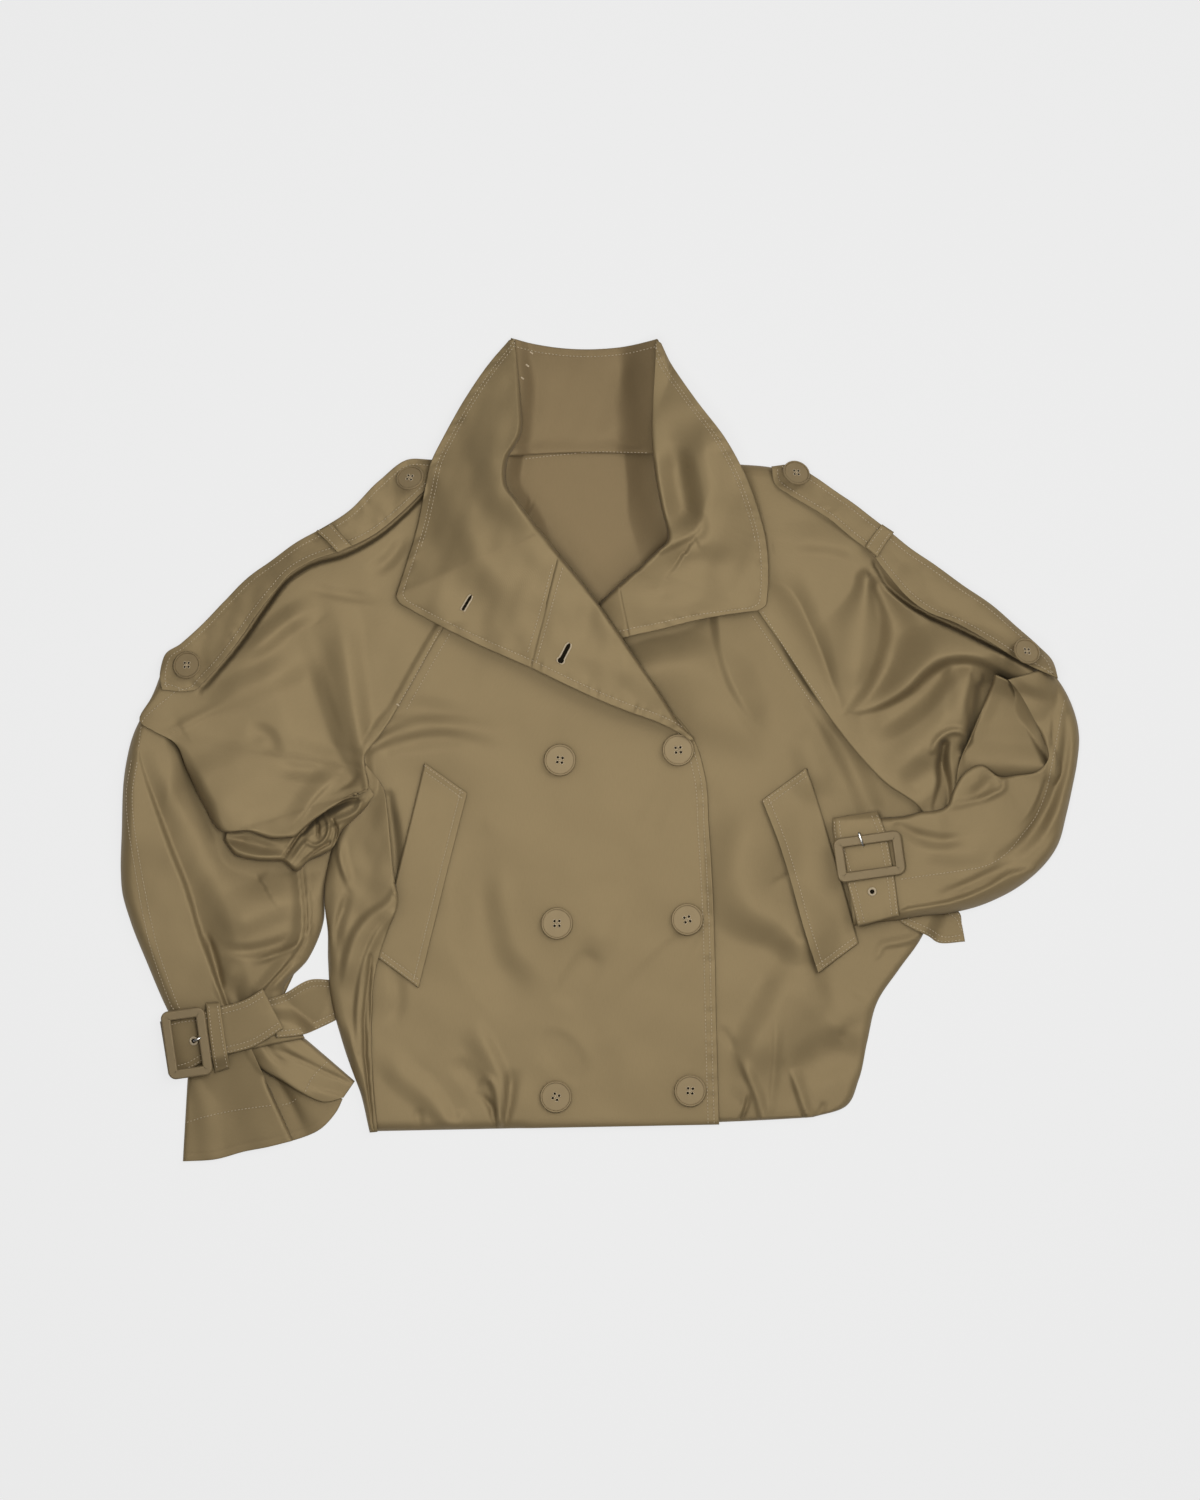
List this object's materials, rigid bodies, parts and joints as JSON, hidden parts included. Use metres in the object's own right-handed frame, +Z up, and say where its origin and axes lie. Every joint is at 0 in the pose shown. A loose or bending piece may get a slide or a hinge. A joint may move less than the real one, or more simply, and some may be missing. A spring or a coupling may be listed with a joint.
{
  "type": "trench coat",
  "caption": "Cropped double-breasted trench coat in khaki twill with raglan sleeves, storm collar, shoulder straps, welt pockets and buckled cuffs, laid flat face up.",
  "frame": {"origin": "centre of the plan's bounding box, on the surface the coat lies on", "axes": "+X from the wearer's right sleeve to the left sleeve, +Y from the hem to the collar, +Z up out of the coat's front"},
  "size_m": [0.8431, 0.7238, 0.0428],
  "materials": {
    "shell_cloth": "khaki cotton twill, soft sheen",
    "button": "khaki resin, dyed to match, satin",
    "buckle": "khaki covered frame, satin",
    "pin": "polished metal pin"
  },
  "bodies": {
    "root": {"back": "shell_cloth", "collar_back": "shell_cloth", "collar_left": "shell_cloth", "collar_right": "shell_cloth", "cuff_right": "shell_cloth", "cuff_right_under": "shell_cloth", "epaulette_left": "shell_cloth", "epaulette_loop_left": "shell_cloth", "epaulette_loop_right": "shell_cloth", "epaulette_right": "shell_cloth", "front_left": "shell_cloth", "front_right": "shell_cloth", "keeper_right": "shell_cloth", "lapel_left": "shell_cloth", "lapel_right": "shell_cloth", "side_right": "shell_cloth", "sleeve_left": "shell_cloth", "sleeve_left_fore": "shell_cloth", "sleeve_left_under": "shell_cloth", "sleeve_right": "shell_cloth", "sleeve_right_fold": "shell_cloth", "sleeve_right_fore": "shell_cloth", "sleeve_right_under": "shell_cloth", "strap_left": "shell_cloth", "strap_left_tail": "shell_cloth", "strap_right": "shell_cloth", "strap_right_tail": "shell_cloth", "welt_left": "shell_cloth", "welt_right": "shell_cloth", "button_front_1": "button", "button_front_2": "button", "button_front_3": "button", "button_front_4": "button", "button_front_5": "button", "button_front_6": "button", "button_shoulder_left_inner": "button", "button_shoulder_left_outer": "button", "button_shoulder_right_inner": "button", "button_shoulder_right_outer": "button", "buckle_left": "buckle", "buckle_right": "buckle", "prong_left": "pin", "prong_right": "pin"}
  },
  "joints": []
}
